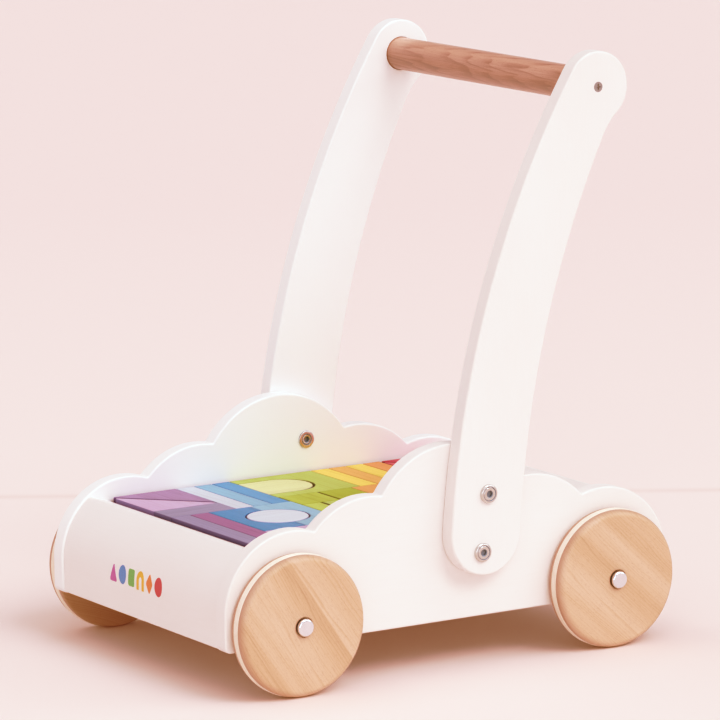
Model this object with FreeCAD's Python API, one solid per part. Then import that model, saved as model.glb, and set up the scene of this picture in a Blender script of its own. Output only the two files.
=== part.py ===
"""Wooden push-along baby walker with a tray of building blocks.

Frame: +Z up, +X across the walker to its right-hand side, the curved front board at -Y and
the push handle at +Y. The origin is on the ground, midway between the four wheels.
"""
import FreeCAD, Part
import math
import os

V = FreeCAD.Vector

# Driving dimensions, all in millimetres.
STOCK_T = 14.2            # planed thickness of the panels, boards and arms
TRAY_W = 240.0            # clear width between the side panels
EASE_R = 1.6              # rounding of every painted edge

WHEEL_R = 55.0            # over the rubber ring
WHEEL_BASE = 287.0        # axle to axle
AXLE_R = 3.0
RUN_CLEAR = 0.06          # radial clearance of every turning fit

PANEL_BOTTOM = 38.0
PANEL_CORNER_R = 5.5
VALLEY_R = 2.0            # cutter radius left where two lobes meet
END_LOBE = (142.0, 66.0, 60.0)         # distance from the middle, height, radius
SHOULDER_LOBE = (74.0, 79.2, 65.0)
CROWN_LOBE = (0.0, 103.1, 73.5)

BOARD_INSET = 1.6         # curved boards lie this far inside the end lobes
BOARD_BOTTOM = 39.6
BOARD_LIP_Y = 15.3        # inner top edge, measured outwards from the end lobe's centre
BOARD_LIP_SLOPE = 17.0    # degrees, the top cut rises outwards
BOARD_NOSE_R = 4.0

BASE_T = 9.0
BASE_TOP = 81.0

HANDLE_AXIS = (129.4, 443.0)
HANDLE_R = 13.2
HANDLE_SOCKET = (0.6, 3.0)              # clearance round the bar and depth into each arm
ARM_TOP_R = 27.6
ARM_NECK_R = 22.0         # the rear edge's long curve is aimed at this circle round the handle
ARM_NECK_BLEND_R = 60.0   # hollow that joins the rear edge to the round head
ARM_FOOT = (23.7, 105.0)
ARM_FOOT_R = 32.0
ARM_FRONT_R = 762.0       # long curve of the front edge
ARM_REAR_R = 787.0        # long curve of the rear edge

BOLT_SPOTS = ((25.3, 136.9), (19.5, 91.6))
BOLT_R = 3.0
BOLT_HEAD_R = 7.35
BOLT_HEAD_T = 2.6
BOLT_RIM_R = 1.3
SLEEVE_R = 4.5
SLEEVE_FLANGE_R = 7.0
SLEEVE_FLANGE_T = 1.2
SLEEVE_RIM_R = 0.6
THREAD_L = 4.0            # the bolt stops this far short of the panel's tray side
HEX_SOCKET_R = 2.3
HEX_SOCKET_DEPTH = 2.0

SCREW_R = 2.2
SCREW_HEAD_R = 4.0
SCREW_LENGTH = 50.0
SCREW_SLOT = (4.4, 1.0, 1.4)           # length, width and depth of each arm of the cross

PEG_R = 3.0               # wooden joining pegs
PEG_IN_PANEL = 9.0
PEG_IN_BOARD = 21.0
PEG_LIFTS = (-14.0, 45.0) # degrees up the curved boards
BASE_PEG_Y = 110.0

WHEEL_T = 16.2
WHEEL_GAP = 2.0           # side panel to wheel
WOOD_DROP = 0.5           # wood lies this far under the rubber ring
RING_W = 6.0
RING_DEPTH = 4.2
RING_CROWN_R = 0.9
INNER_FLANGE_W = 3.7
WHEEL_OUTER_EDGE_R = 5.0
WHEEL_INNER_EDGE_R = 1.6
HUB_RECESS_R = 8.0
HUB_RECESS_DEPTH = 1.6
WASHER_T = 1.2
WASHER_R = 8.0
CAP_R = 6.9
CAP_T = 5.0
CAP_DOME_R = 2.2
CAP_WALL = 1.2
CAP_CLEAR = 0.4           # cap to the floor of the wheel's recess

BLOCK_H = 30.0
BLOCK_EASE = 0.8
BLOCK_GAP = 0.3
LOOSE_GAP = 1.9           # wider gap behind the green blocks
PLANK_W = 16.2
PLANK_L = 95.0
SMALL_PLANK = (28.3, 58.0)
TRIANGLE = (62.0, 58.0)
TRIANGLE_SHIFT = 4.4      # how far the second triangle of a pair has slid sideways
GATE = 76.6
GATE_OPENING_R = 25.3
GATE_OPENING_STRAIGHT = 28.2
ARCH = (85.0, 37.5)
ARCH_OPENING_R = 25.2
ROUND_R = 24.2            # discs and the end of the gate's filler
FILLER_SHORT = 1.0        # the filler is this much shorter than the gate's opening
SQUARE = 35.0
OLIVE_BRICK = (60.0, 30.0)
BLOCKS_LEFT_X = -118.0
BLOCKS_RIGHT_X = 118.0
BLOCKS_FRONT_Y = -156.8
LAST_ROW_Y = 94.8

# Values worked out from them.
PANEL_IN = TRAY_W / 2
PANEL_OUT = PANEL_IN + STOCK_T
ARM_OUT = PANEL_OUT + STOCK_T
AXLE_Y = WHEEL_BASE / 2
AXLE_Z = WHEEL_R
WHEEL_IN = PANEL_OUT + WHEEL_GAP
WHEEL_OUT = WHEEL_IN + WHEEL_T
RING_IN = WHEEL_IN + INNER_FLANGE_W
RING_OUT = RING_IN + RING_W
GROOVE_R = WHEEL_R - RING_DEPTH
CAP_FOOT = WHEEL_OUT - HUB_RECESS_DEPTH + CAP_CLEAR
BLOCK_Z = BASE_TOP
BLOCK_STEP = PLANK_W + BLOCK_GAP


def toward(centre, radius, target):
    """Point at a radius from centre, in the direction of target."""
    span = math.dist(centre, target)
    return tuple(c + radius * (t - c) / span for c, t in zip(centre, target))


def circles_meet(first, first_r, second, second_r, side):
    """Crossing of two circles; side +1 is left of the way from first to second, -1 right."""
    span = math.dist(first, second)
    along = (first_r ** 2 - second_r ** 2 + span ** 2) / (2 * span)
    off = side * math.sqrt(first_r ** 2 - along ** 2)
    way = ((second[0] - first[0]) / span, (second[1] - first[1]) / span)
    return (first[0] + along * way[0] - off * way[1],
            first[1] + along * way[1] + off * way[0])


def line_edge(start, end):
    """Straight edge in the YZ plane."""
    return Part.LineSegment(V(0, *start), V(0, *end)).toShape()


def arc_edge(centre, start, end, turn):
    """Arc in the YZ plane about centre; turn +1 is anticlockwise, -1 clockwise."""
    radius = math.dist(centre, start)
    first = math.atan2(start[1] - centre[1], start[0] - centre[0])
    last = math.atan2(end[1] - centre[1], end[0] - centre[0])
    sweep = (turn * (last - first)) % (2 * math.pi)
    middle = first + turn * sweep / 2
    through = (centre[0] + radius * math.cos(middle), centre[1] + radius * math.sin(middle))
    return Part.Arc(V(0, *start), V(0, *through), V(0, *end)).toShape()


def slab(edges, x_from, x_to):
    """Solid between two X planes with the outline given in the YZ plane."""
    face = Part.Face(Part.Wire(edges))
    face.translate(V(x_from, 0, 0))
    return face.extrude(V(x_to - x_from, 0, 0))


def rod(radius, x_from, x_to, centre):
    """Cylinder along X about centre in the YZ plane."""
    return Part.makeCylinder(radius, x_to - x_from, V(x_from, *centre), V(1, 0, 0))


def turned(profile, centre):
    """Solid turned about the X axis through centre; profile holds (x, radius) edges."""
    face = Part.Face(Part.Wire(profile))
    solid = face.revolve(V(0, 0, 0), V(1, 0, 0), 360)
    solid.translate(V(0, *centre))
    return solid


def turned_line(start, end):
    """Straight edge of a turned profile, as (x, radius) points."""
    return Part.LineSegment(V(start[0], 0, start[1]), V(end[0], 0, end[1])).toShape()


def turned_corner(start, corner, end):
    """Quarter round of a turned profile that replaces a square corner."""
    radius = abs(start[0] - corner[0]) + abs(start[1] - corner[1])
    centre = (start[0] + end[0] - corner[0], start[1] + end[1] - corner[1])
    reach = radius / math.sqrt(2)
    through = (centre[0] + math.copysign(reach, corner[0] - centre[0]),
               centre[1] + math.copysign(reach, corner[1] - centre[1]))
    return Part.Arc(V(start[0], 0, start[1]), V(through[0], 0, through[1]),
                    V(end[0], 0, end[1])).toShape()


def mirrored_x(shape):
    """The same piece on the other side of the walker."""
    return shape.mirror(V(0, 0, 0), V(1, 0, 0))


def mirrored_y(shape):
    """The same piece at the other end of the walker."""
    return shape.mirror(V(0, 0, 0), V(0, 1, 0))


def face_edges(shape, planes):
    """Edges that lie wholly in one of the given X planes."""
    return [edge for edge in shape.Edges for plane in planes
            if abs(edge.BoundBox.XMin - plane) < 1e-3 and abs(edge.BoundBox.XMax - plane) < 1e-3]


def long_edges_near(shape, spot):
    """Edges along X that pass through a point of the YZ plane."""
    return [edge for edge in shape.Edges
            if edge.BoundBox.YLength < 1e-3 and edge.BoundBox.ZLength < 1e-3
            and math.dist((edge.BoundBox.YMin, edge.BoundBox.ZMin), spot) < 0.01]


def drilled(shape, tools):
    """Shape with every tool cut out of it."""
    for tool in tools:
        shape = shape.cut(tool)
    return shape


# ---- fasteners and pegs -------------------------------------------------------------

def hex_socket(x_from, x_to, centre):
    """Six-sided socket along X."""
    corners = [(centre[0] + HEX_SOCKET_R * math.cos(math.radians(60 * step)),
                centre[1] + HEX_SOCKET_R * math.sin(math.radians(60 * step)))
               for step in range(6)]
    edges = [line_edge(corners[step], corners[(step + 1) % 6]) for step in range(6)]
    return slab(edges, x_from, x_to)


def arm_bolt(centre):
    """Low-headed bolt from outside the arm into the sleeve nut, right-hand side."""
    head_out = ARM_OUT + BOLT_HEAD_T
    head = rod(BOLT_HEAD_R, ARM_OUT, head_out, centre)
    head = head.makeFillet(BOLT_RIM_R, face_edges(head, [head_out])[:1])
    head = head.cut(hex_socket(head_out - HEX_SOCKET_DEPTH, head_out + 1, centre))
    shank = rod(BOLT_R, PANEL_IN + THREAD_L, ARM_OUT, centre)
    return head.fuse(shank).removeSplitter()


def sleeve_nut(centre):
    """Flanged sleeve nut set in the side panel from the tray side, right-hand side."""
    flange_in = PANEL_IN - SLEEVE_FLANGE_T
    flange = rod(SLEEVE_FLANGE_R, flange_in, PANEL_IN, centre)
    flange = flange.makeFillet(SLEEVE_RIM_R, face_edges(flange, [flange_in])[:1])
    barrel = rod(SLEEVE_R, PANEL_IN, PANEL_OUT, centre)
    nut = flange.fuse(barrel).removeSplitter()
    nut = nut.cut(hex_socket(flange_in - 1, PANEL_IN + HEX_SOCKET_DEPTH, centre))
    return nut.cut(rod(BOLT_R, PANEL_IN + HEX_SOCKET_DEPTH, PANEL_OUT + 1, centre))


def screw_head(x_out, centre):
    """Countersunk cone with its wide end at x_out."""
    return Part.makeCone(SCREW_R, SCREW_HEAD_R, SCREW_HEAD_R - SCREW_R,
                         V(x_out - (SCREW_HEAD_R - SCREW_R), *centre), V(1, 0, 0))


def handle_screw():
    """Countersunk wood screw through the arm into the handle's end, right-hand side."""
    shank = rod(SCREW_R, ARM_OUT - SCREW_LENGTH, ARM_OUT - (SCREW_HEAD_R - SCREW_R), HANDLE_AXIS)
    screw = screw_head(ARM_OUT, HANDLE_AXIS).fuse(shank).removeSplitter()
    slot_l, slot_w, slot_d = SCREW_SLOT
    for span_y, span_z in ((slot_l, slot_w), (slot_w, slot_l)):
        corner = V(ARM_OUT - slot_d, HANDLE_AXIS[0] - span_y / 2, HANDLE_AXIS[1] - span_z / 2)
        screw = screw.cut(Part.makeBox(slot_d + 1, span_y, span_z, corner))
    return screw


def peg_spots():
    """Centres of the joining pegs on one side panel, in the YZ plane."""
    mid_r = END_LOBE[2] - BOARD_INSET - STOCK_T / 2
    spots = []
    for end in (-1, 1):
        for lift in PEG_LIFTS:
            angle = math.radians(lift)
            spots.append((end * (END_LOBE[0] + mid_r * math.cos(angle)),
                          END_LOBE[1] + mid_r * math.sin(angle)))
    spots += [(y, BASE_TOP - BASE_T / 2) for y in (-BASE_PEG_Y, 0.0, BASE_PEG_Y)]
    return spots


def joining_pegs():
    """Pegs that join the right-hand side panel to the boards."""
    return [rod(PEG_R, PANEL_IN - PEG_IN_BOARD, PANEL_IN + PEG_IN_PANEL, spot)
            for spot in peg_spots()]


# ---- panels and boards --------------------------------------------------------------

def cloud_lobes():
    """Lobes of the cloud outline, front to rear, as (y, z, radius)."""
    return [(-END_LOBE[0], END_LOBE[1], END_LOBE[2]),
            (-SHOULDER_LOBE[0], SHOULDER_LOBE[1], SHOULDER_LOBE[2]),
            CROWN_LOBE, SHOULDER_LOBE, END_LOBE]


def cloud_valleys():
    """Points where neighbouring lobes meet."""
    lobes = cloud_lobes()
    return [circles_meet(a[:2], a[2], b[:2], b[2], 1) for a, b in zip(lobes, lobes[1:])]


def cloud_outline():
    """Cloud outline of a side panel: three kinds of lobe over a straight bottom."""
    lobes = cloud_lobes()
    end_y = END_LOBE[0] + END_LOBE[2]
    stops = [(-end_y, END_LOBE[1])] + cloud_valleys() + [(end_y, END_LOBE[1])]
    corner_z = PANEL_BOTTOM + PANEL_CORNER_R
    corner_y = end_y - PANEL_CORNER_R
    edges = [line_edge((-end_y, corner_z), stops[0])]
    edges += [arc_edge(lobe[:2], start, stop, -1)
              for lobe, start, stop in zip(lobes, stops, stops[1:])]
    edges.append(line_edge(stops[-1], (end_y, corner_z)))
    edges.append(arc_edge((corner_y, corner_z), (end_y, corner_z), (corner_y, PANEL_BOTTOM), -1))
    edges.append(line_edge((corner_y, PANEL_BOTTOM), (-corner_y, PANEL_BOTTOM)))
    edges.append(arc_edge((-corner_y, corner_z), (-corner_y, PANEL_BOTTOM),
                          (-end_y, corner_z), -1))
    return edges


def side_panel():
    """Right-hand side panel with its axle, sleeve and peg holes."""
    panel = slab(cloud_outline(), PANEL_IN, PANEL_OUT)
    valleys = [edge for spot in cloud_valleys() for edge in long_edges_near(panel, spot)]
    panel = panel.makeFillet(VALLEY_R, valleys)
    panel = panel.makeFillet(EASE_R, face_edges(panel, [PANEL_IN, PANEL_OUT]))
    holes = [rod(AXLE_R + RUN_CLEAR, PANEL_IN - 1, PANEL_OUT + 1, (y, AXLE_Z))
             for y in (-AXLE_Y, AXLE_Y)]
    holes += [rod(SLEEVE_R, PANEL_IN - 1, PANEL_OUT + 1, spot) for spot in BOLT_SPOTS]
    return drilled(panel, holes + joining_pegs())


def front_board():
    """Curved front board: follows the end lobe, with its top cut to a shallow slope."""
    centre = (-END_LOBE[0], END_LOBE[1])
    outer_r = END_LOBE[2] - BOARD_INSET
    inner_r = outer_r - STOCK_T
    lip_in = (centre[0] - BOARD_LIP_Y, centre[1] + math.sqrt(inner_r ** 2 - BOARD_LIP_Y ** 2))
    slope = math.radians(BOARD_LIP_SLOPE)
    way = (-math.cos(slope), math.sin(slope))
    start = (lip_in[0] - centre[0], lip_in[1] - centre[1])
    half = start[0] * way[0] + start[1] * way[1]
    reach = -half + math.sqrt(half ** 2 + outer_r ** 2 - inner_r ** 2)
    lip_out = (lip_in[0] + reach * way[0], lip_in[1] + reach * way[1])
    outer_side = (centre[0] - outer_r, centre[1])
    inner_side = (centre[0] - inner_r, centre[1])
    edges = [arc_edge(centre, lip_out, outer_side, 1),
             line_edge(outer_side, (outer_side[0], BOARD_BOTTOM)),
             line_edge((outer_side[0], BOARD_BOTTOM), (inner_side[0], BOARD_BOTTOM)),
             line_edge((inner_side[0], BOARD_BOTTOM), inner_side),
             arc_edge(centre, inner_side, lip_in, -1),
             line_edge(lip_in, lip_out)]
    board = slab(edges, -PANEL_IN, PANEL_IN)
    board = board.makeFillet(BOARD_NOSE_R, long_edges_near(board, lip_out))
    board = board.makeFillet(EASE_R / 2, long_edges_near(board, lip_in))
    bottom_corners = [(outer_side[0], BOARD_BOTTOM), (inner_side[0], BOARD_BOTTOM)]
    eased = [edge for spot in bottom_corners for edge in long_edges_near(board, spot)]
    return board.makeFillet(EASE_R / 2, eased)


def base_board(end_boards):
    """Tray floor, cut to the curved boards at both ends."""
    half_l = END_LOBE[0] + END_LOBE[2] - BOARD_INSET - STOCK_T - 0.1
    board = Part.makeBox(2 * PANEL_IN, 2 * half_l, BASE_T,
                         V(-PANEL_IN, -half_l, BASE_TOP - BASE_T))
    return drilled(board, end_boards)


# ---- handle ---------------------------------------------------------------------------

def arm_outline():
    """Arm outline: a round foot and a round head joined by two long curves.

    Returns its edges and the inside corner where the rear curve runs into the head."""
    front_centre = circles_meet(ARM_FOOT, ARM_FRONT_R - ARM_FOOT_R,
                                HANDLE_AXIS, ARM_FRONT_R - ARM_TOP_R, -1)
    rear_centre = circles_meet(ARM_FOOT, ARM_REAR_R + ARM_FOOT_R,
                               HANDLE_AXIS, ARM_REAR_R + ARM_NECK_R, -1)
    foot_front = toward(ARM_FOOT, -ARM_FOOT_R, front_centre)
    head_front = toward(HANDLE_AXIS, -ARM_TOP_R, front_centre)
    foot_rear = toward(ARM_FOOT, ARM_FOOT_R, rear_centre)
    neck = circles_meet(HANDLE_AXIS, ARM_TOP_R, rear_centre, ARM_REAR_R, -1)
    edges = [arc_edge(front_centre, foot_front, head_front, -1),
             arc_edge(HANDLE_AXIS, head_front, neck, -1),
             arc_edge(rear_centre, neck, foot_rear, 1),
             arc_edge(ARM_FOOT, foot_rear, foot_front, -1)]
    return edges, neck


def handle_arm():
    """Right-hand arm with its bolt holes, the bar's socket and the screw's countersunk hole."""
    outline, neck = arm_outline()
    arm = slab(outline, PANEL_OUT, ARM_OUT)
    arm = arm.makeFillet(ARM_NECK_BLEND_R, long_edges_near(arm, neck))
    arm = arm.makeFillet(EASE_R, face_edges(arm, [PANEL_OUT, ARM_OUT]))
    holes = [rod(BOLT_R + 0.1, PANEL_OUT - 1, ARM_OUT + 1, spot) for spot in BOLT_SPOTS]
    clearance, depth = HANDLE_SOCKET
    holes.append(rod(HANDLE_R + clearance, PANEL_OUT - 1, PANEL_OUT + depth, HANDLE_AXIS))
    holes.append(rod(SCREW_R, PANEL_OUT - 1, ARM_OUT, HANDLE_AXIS))
    holes.append(screw_head(ARM_OUT, HANDLE_AXIS))
    return drilled(arm, holes)


def handle_bar():
    """Round push bar between the arms, with a pilot hole in each end."""
    reach = PANEL_OUT + HANDLE_SOCKET[1]
    bar = rod(HANDLE_R, -reach, reach, HANDLE_AXIS)
    pilot = rod(SCREW_R, ARM_OUT - SCREW_LENGTH, reach + 1, HANDLE_AXIS)
    return drilled(bar, [pilot, mirrored_x(pilot)])


# ---- wheels ---------------------------------------------------------------------------

def wheel(centre):
    """Right-hand wooden wheel with a groove for its rubber ring and a hub recess."""
    rim = WHEEL_R - WOOD_DROP
    bore = AXLE_R + RUN_CLEAR
    recess_x = WHEEL_OUT - HUB_RECESS_DEPTH
    inner_r, outer_r = WHEEL_INNER_EDGE_R, WHEEL_OUTER_EDGE_R
    profile = [
        turned_line((WHEEL_IN, bore), (WHEEL_IN, rim - inner_r)),
        turned_corner((WHEEL_IN, rim - inner_r), (WHEEL_IN, rim), (WHEEL_IN + inner_r, rim)),
        turned_line((WHEEL_IN + inner_r, rim), (RING_IN, rim)),
        turned_line((RING_IN, rim), (RING_IN, GROOVE_R)),
        turned_line((RING_IN, GROOVE_R), (RING_OUT, GROOVE_R)),
        turned_line((RING_OUT, GROOVE_R), (RING_OUT, rim)),
        turned_line((RING_OUT, rim), (WHEEL_OUT - outer_r, rim)),
        turned_corner((WHEEL_OUT - outer_r, rim), (WHEEL_OUT, rim), (WHEEL_OUT, rim - outer_r)),
        turned_line((WHEEL_OUT, rim - outer_r), (WHEEL_OUT, HUB_RECESS_R)),
        turned_line((WHEEL_OUT, HUB_RECESS_R), (recess_x, HUB_RECESS_R)),
        turned_line((recess_x, HUB_RECESS_R), (recess_x, bore)),
        turned_line((recess_x, bore), (WHEEL_IN, bore)),
    ]
    return turned(profile, centre)


def rubber_ring(centre):
    """Rubber ring pressed into the wheel's groove, with softly rounded outer edges."""
    shoulder = WHEEL_R - RING_CROWN_R
    crown_in, crown_out = RING_IN + RING_CROWN_R, RING_OUT - RING_CROWN_R
    profile = [
        turned_line((RING_IN, GROOVE_R), (RING_IN, shoulder)),
        turned_corner((RING_IN, shoulder), (RING_IN, WHEEL_R), (crown_in, WHEEL_R)),
        turned_line((crown_in, WHEEL_R), (crown_out, WHEEL_R)),
        turned_corner((crown_out, WHEEL_R), (RING_OUT, WHEEL_R), (RING_OUT, shoulder)),
        turned_line((RING_OUT, shoulder), (RING_OUT, GROOVE_R)),
        turned_line((RING_OUT, GROOVE_R), (RING_IN, GROOVE_R)),
    ]
    return turned(profile, centre)


def hub_cap(centre):
    """Pressed metal cap over the axle's end: straight rim, rounded shoulder, flat top."""
    top = CAP_FOOT + CAP_T
    floor = top - CAP_WALL
    profile = [
        turned_line((CAP_FOOT, AXLE_R), (CAP_FOOT, CAP_R)),
        turned_line((CAP_FOOT, CAP_R), (top - CAP_DOME_R, CAP_R)),
        turned_corner((top - CAP_DOME_R, CAP_R), (top, CAP_R), (top, CAP_R - CAP_DOME_R)),
        turned_line((top, CAP_R - CAP_DOME_R), (top, 0)),
        turned_line((top, 0), (floor, 0)),
        turned_line((floor, 0), (floor, AXLE_R)),
        turned_line((floor, AXLE_R), (CAP_FOOT, AXLE_R)),
    ]
    return turned(profile, centre)


def axle(centre):
    """Steel axle that reaches into the hub cap on each side."""
    reach = CAP_FOOT + CAP_T - CAP_WALL
    return rod(AXLE_R, -reach, reach, centre)


def axle_washer(centre):
    """Washer on the axle between the side panel and the wheel, right-hand side."""
    washer_in = PANEL_OUT + (WHEEL_GAP - WASHER_T) / 2
    ring = rod(WASHER_R, washer_in, washer_in + WASHER_T, centre)
    return ring.cut(rod(AXLE_R, washer_in - 1, washer_in + WASHER_T + 1, centre))


# ---- building blocks ------------------------------------------------------------------

def eased(block):
    """Block with every sharp edge softened."""
    return block.makeFillet(BLOCK_EASE, block.Edges)


def plain_block(x_from, y_from, x_size, y_size):
    """Rectangular block standing on the tray floor."""
    return Part.makeBox(x_size, y_size, BLOCK_H, V(x_from, y_from, BLOCK_Z))


def triangle_block(corners):
    """Three-cornered block with the given plan corners."""
    points = [V(x, y, BLOCK_Z) for x, y in corners]
    face = Part.Face(Part.makePolygon(points + points[:1]))
    return face.extrude(V(0, 0, BLOCK_H))


def round_post(x, y, radius):
    """Round column as high as a block."""
    return Part.makeCylinder(radius, BLOCK_H, V(x, y, BLOCK_Z))


def arch_block(x_from, y_from, opens_to):
    """Arch lying on its side; the half-round opening faces +Y or -Y."""
    middle_y = y_from + (ARCH[1] if opens_to > 0 else 0)
    block = plain_block(x_from, y_from, *ARCH)
    return block.cut(round_post(x_from + ARCH[0] / 2, middle_y, ARCH_OPENING_R))


def gate_block(x_from, y_from):
    """Square gate lying on its side; its deep round-ended opening faces -Y."""
    middle_x = x_from + GATE / 2
    block = plain_block(x_from, y_from, GATE, GATE)
    block = block.cut(plain_block(middle_x - GATE_OPENING_R, y_from - 1,
                                  2 * GATE_OPENING_R, GATE_OPENING_STRAIGHT + 1))
    return block.cut(round_post(middle_x, y_from + GATE_OPENING_STRAIGHT, GATE_OPENING_R))


def gate_filler(x_from, y_from):
    """Round-ended block that fills the gate's opening."""
    middle_x = x_from + GATE / 2
    straight = GATE_OPENING_STRAIGHT - FILLER_SHORT
    block = plain_block(middle_x - ROUND_R, y_from, 2 * ROUND_R, straight)
    block = block.fuse(round_post(middle_x, y_from + straight, ROUND_R)).removeSplitter()
    return block.common(plain_block(middle_x - GATE, y_from, 2 * GATE, GATE))


def triangle_pair(y_from):
    """Two right triangles that share a square, the second slid along X."""
    left, right = BLOCKS_LEFT_X, BLOCKS_LEFT_X + TRIANGLE[0]
    y_to = y_from + TRIANGLE[1]
    slide = TRIANGLE_SHIFT
    return (triangle_block([(left, y_from), (left, y_to), (right, y_to)]),
            triangle_block([(left + slide, y_from), (right + slide, y_from),
                            (right + slide, y_to)]))


def far_column():
    """Blocks on the left-hand side of the tray, front to rear."""
    left = BLOCKS_LEFT_X
    small_x = left + TRIANGLE[0] + TRIANGLE_SHIFT + BLOCK_GAP
    plank_y = BLOCKS_FRONT_Y + TRIANGLE[1] + BLOCK_GAP
    gate_y = plank_y + 3 * BLOCK_STEP
    warm_y = gate_y + GATE + BLOCK_GAP
    plum, lilac = triangle_pair(BLOCKS_FRONT_Y)
    crimson, rose = triangle_pair(LAST_ROW_Y)
    blocks = {
        "block_triangle_plum": plum,
        "block_triangle_lilac": lilac,
        "block_small_plank_heather": plain_block(small_x, BLOCKS_FRONT_Y, *SMALL_PLANK),
        "block_gate_lime": gate_block(left, gate_y),
        "block_gate_filler_pale_green": gate_filler(left, gate_y),
        "block_triangle_crimson": crimson,
        "block_triangle_rose": rose,
        "block_small_plank_red": plain_block(small_x, LAST_ROW_Y, *SMALL_PLANK),
    }
    for index, colour in enumerate(("lavender", "sky", "blue")):
        blocks["block_plank_" + colour] = plain_block(left, plank_y + index * BLOCK_STEP,
                                                      PLANK_L, PLANK_W)
    for index, colour in enumerate(("yellow_a", "orange_a", "yellow_b", "orange_b")):
        blocks["block_plank_" + colour] = plain_block(left, warm_y + index * BLOCK_STEP,
                                                      GATE, PLANK_W)
    return blocks


def cool_blocks():
    """Purple and blue blocks at the front of the right-hand column."""
    left = BLOCKS_LEFT_X + PLANK_L + BLOCK_GAP
    long_l = BLOCKS_RIGHT_X - left
    arch_y = BLOCKS_FRONT_Y + 2 * BLOCK_STEP
    side_x = left + ARCH[0] + BLOCK_GAP
    side_l = BLOCKS_RIGHT_X - side_x
    far_arch_y = arch_y + ARCH[1] + BLOCK_GAP
    return {
        "block_long_plank_heather": plain_block(left, BLOCKS_FRONT_Y, long_l, PLANK_W),
        "block_long_plank_plum": plain_block(left, BLOCKS_FRONT_Y + BLOCK_STEP, long_l, PLANK_W),
        "block_arch_blue": arch_block(left, arch_y, 1),
        "block_arch_sky": arch_block(left, far_arch_y, -1),
        "block_disc_lavender": round_post(left + ARCH[0] / 2, far_arch_y - BLOCK_GAP / 2, ROUND_R),
        "block_brick_lilac": plain_block(side_x, arch_y, side_l, 2 * ARCH[1] + BLOCK_GAP),
    }


def green_blocks(left, front_y):
    """Green blocks in the middle of the right-hand column."""
    planks_x = left + SQUARE + BLOCK_GAP
    long_l = BLOCKS_RIGHT_X - planks_x
    brick_y = front_y + SQUARE + LOOSE_GAP
    brick_x = left + OLIVE_BRICK[0] + BLOCK_GAP
    return {
        "block_square_lime": plain_block(left, front_y, SQUARE, SQUARE),
        "block_long_plank_lime": plain_block(planks_x, front_y, long_l, PLANK_W),
        "block_long_plank_green": plain_block(planks_x, front_y + SQUARE - PLANK_W,
                                              long_l, PLANK_W),
        "block_brick_olive": plain_block(left, brick_y, *OLIVE_BRICK),
        "block_brick_green": plain_block(brick_x, brick_y, BLOCKS_RIGHT_X - brick_x,
                                         OLIVE_BRICK[1]),
    }


def warm_blocks(left, front_y):
    """Yellow, orange and red blocks at the rear of the right-hand column."""
    side_x = left + ARCH[0] + BLOCK_GAP
    side_l = BLOCKS_RIGHT_X - side_x
    far_arch_y = front_y + ARCH[1] + BLOCK_GAP
    wide_x = BLOCKS_LEFT_X + PLANK_L + BLOCK_GAP
    wide_l, wide_w = BLOCKS_RIGHT_X - wide_x, (TRIANGLE[1] - BLOCK_GAP) / 2
    return {
        "block_arch_orange": arch_block(left, front_y, 1),
        "block_arch_yellow": arch_block(left, far_arch_y, -1),
        "block_disc_red": round_post(left + ARCH[0] / 2, far_arch_y - BLOCK_GAP / 2, ROUND_R),
        "block_brick_yellow": plain_block(side_x, front_y, side_l, ARCH[1]),
        "block_brick_crimson": plain_block(side_x, far_arch_y, side_l, ARCH[1]),
        "block_wide_plank_crimson": plain_block(wide_x, LAST_ROW_Y, wide_l, wide_w),
        "block_wide_plank_red": plain_block(wide_x, LAST_ROW_Y + wide_w + BLOCK_GAP,
                                            wide_l, wide_w),
    }


def near_column():
    """Blocks in the middle and on the right-hand side of the tray."""
    left = BLOCKS_LEFT_X + GATE + BLOCK_GAP
    green_y = BLOCKS_FRONT_Y + 2 * BLOCK_STEP + 2 * (ARCH[1] + BLOCK_GAP)
    warm_y = green_y + SQUARE + LOOSE_GAP + OLIVE_BRICK[1] + BLOCK_GAP
    return {**cool_blocks(), **green_blocks(left, green_y), **warm_blocks(left, warm_y)}


def build():
    """Every piece of the walker by node name."""
    front = front_board()
    rear = mirrored_y(front)
    base = base_board([front, rear])
    pegs = joining_pegs()
    pegs += [mirrored_x(peg) for peg in pegs]
    panel = side_panel()
    arm = handle_arm()
    bolts = [arm_bolt(spot) for spot in BOLT_SPOTS]
    nuts = [sleeve_nut(spot) for spot in BOLT_SPOTS]
    screw = handle_screw()
    pieces = {
        "side_panel_right": panel,
        "side_panel_left": mirrored_x(panel),
        "front_board": drilled(front, pegs),
        "rear_board": drilled(rear, pegs),
        "base_board": drilled(base, pegs),
        "joining_pegs": Part.makeCompound(pegs),
        "handle_arm_right": arm,
        "handle_arm_left": mirrored_x(arm),
        "handle_bar": handle_bar(),
        "handle_screws": Part.makeCompound([screw, mirrored_x(screw)]),
        "arm_bolts": Part.makeCompound(bolts + [mirrored_x(bolt) for bolt in bolts]),
        "sleeve_nuts": Part.makeCompound(nuts + [mirrored_x(nut) for nut in nuts]),
    }
    for end, y in (("front", -AXLE_Y), ("rear", AXLE_Y)):
        centre = (y, AXLE_Z)
        washer, cap = axle_washer(centre), hub_cap(centre)
        pieces[end + "_axle"] = axle(centre)
        pieces[end + "_washers"] = Part.makeCompound([washer, mirrored_x(washer)])
        pieces[end + "_hub_caps"] = Part.makeCompound([cap, mirrored_x(cap)])
        for side, place in (("right", lambda shape: shape), ("left", mirrored_x)):
            pieces["wheel_" + end + "_" + side] = place(wheel(centre))
            pieces["rubber_ring_" + end + "_" + side] = place(rubber_ring(centre))
    for name, block in {**far_column(), **near_column()}.items():
        pieces[name] = eased(block)
    return pieces


os.makedirs("parts", exist_ok=True)
for node, piece in build().items():
    piece.exportStep("parts/" + node + ".step")
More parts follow.
